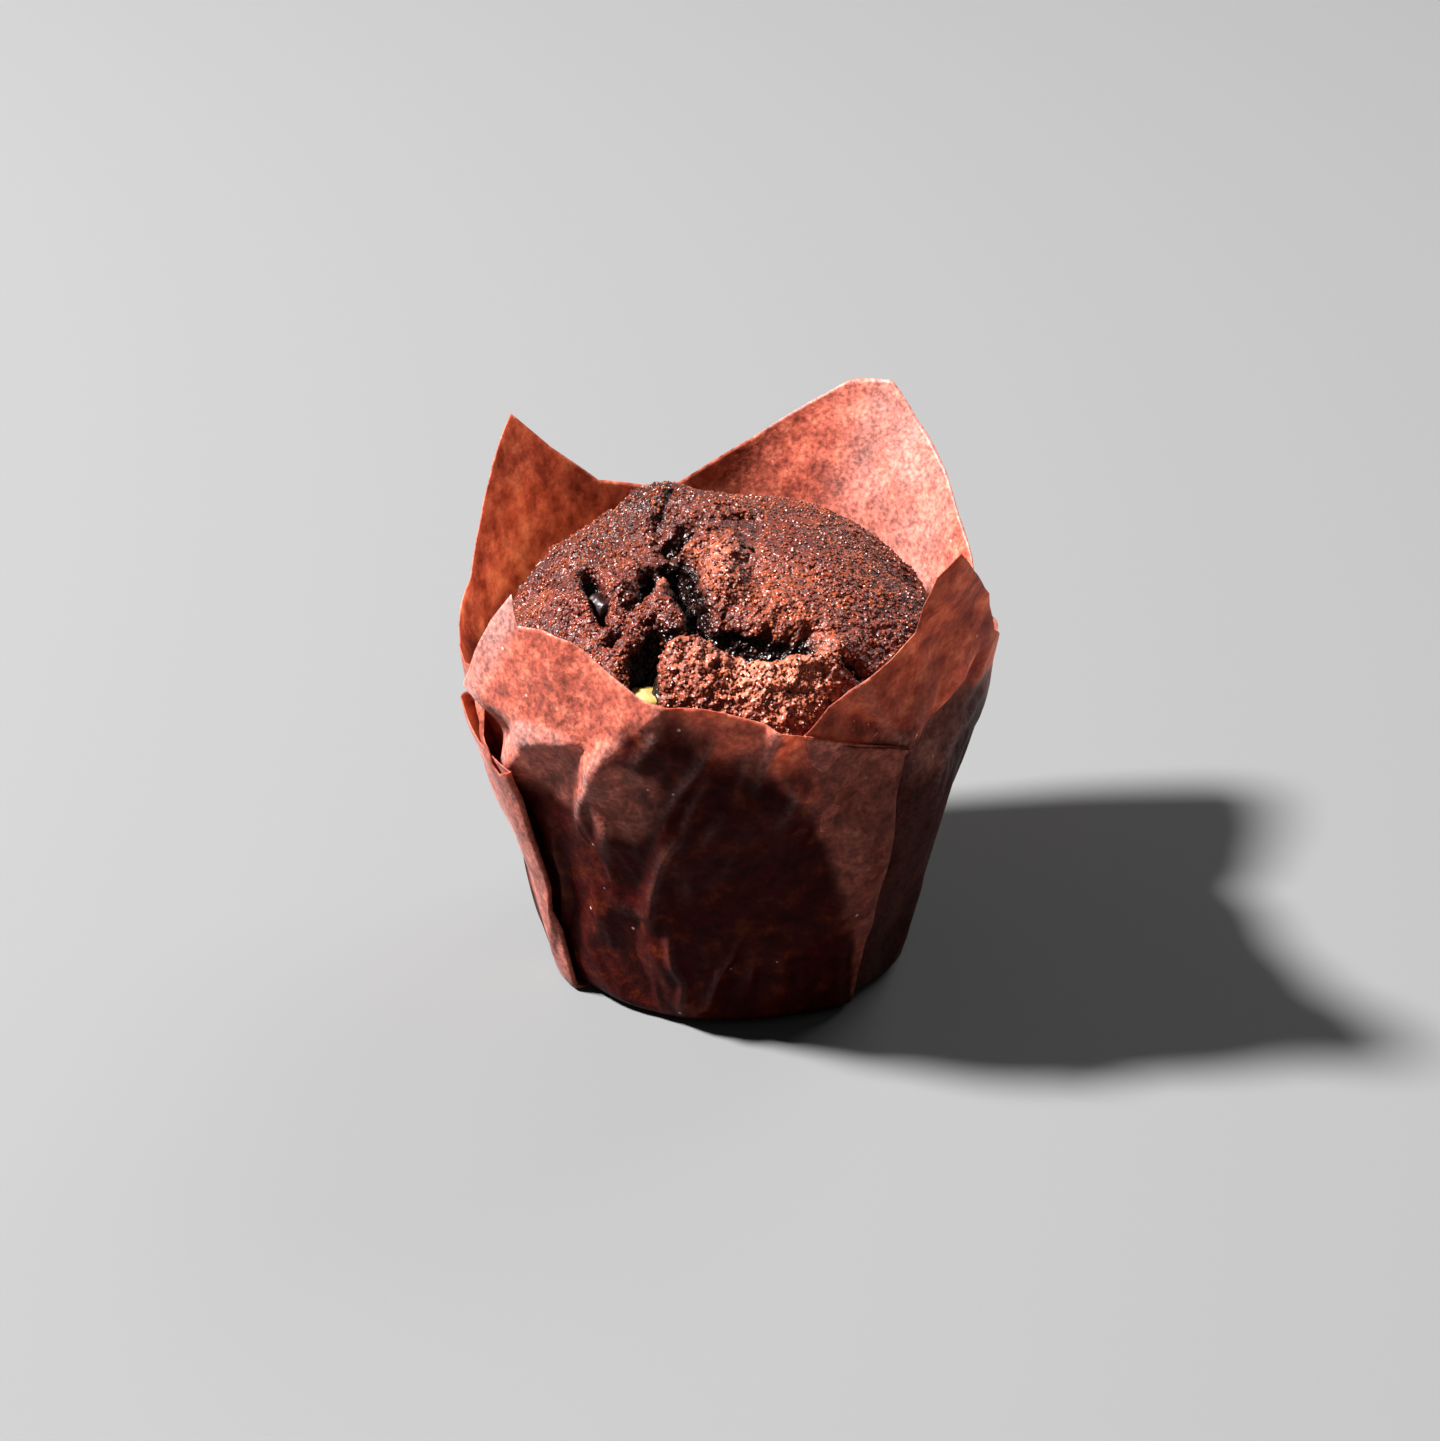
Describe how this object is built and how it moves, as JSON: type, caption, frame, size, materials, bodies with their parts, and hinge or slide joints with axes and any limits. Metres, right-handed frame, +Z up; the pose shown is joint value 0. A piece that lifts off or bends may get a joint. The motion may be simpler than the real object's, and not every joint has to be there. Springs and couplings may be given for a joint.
{
  "type": "chocolate muffin in a tulip wrap",
  "caption": "Chocolate muffin with a domed, cracked crown and chocolate pieces in its cracks, standing in a pleated brown greaseproof tulip wrap with pointed petals.",
  "frame": {"origin": "centre of the round base, on the surface that the muffin stands on", "axes": "+Z up through the crown, -Y towards the front, where the widest crack is"},
  "size_m": [0.0719, 0.0765, 0.0716],
  "materials": {
    "crumb": "baked chocolate crumb, grainy, with a faint sugary shine",
    "greaseproof_paper": "brown greaseproof paper, crumpled, satin, slightly see-through",
    "white_chocolate": "smooth cream, softly glossy",
    "dark_chocolate": "melted and set, nearly black, glossy"
  },
  "bodies": {
    "root": {"muffin_crumb": "crumb", "tulip_wrap": "greaseproof_paper", "white_chocolate_chunk": "white_chocolate", "dark_chocolate_chunk_left": "dark_chocolate", "dark_chocolate_chunk_front": "dark_chocolate"}
  },
  "joints": []
}
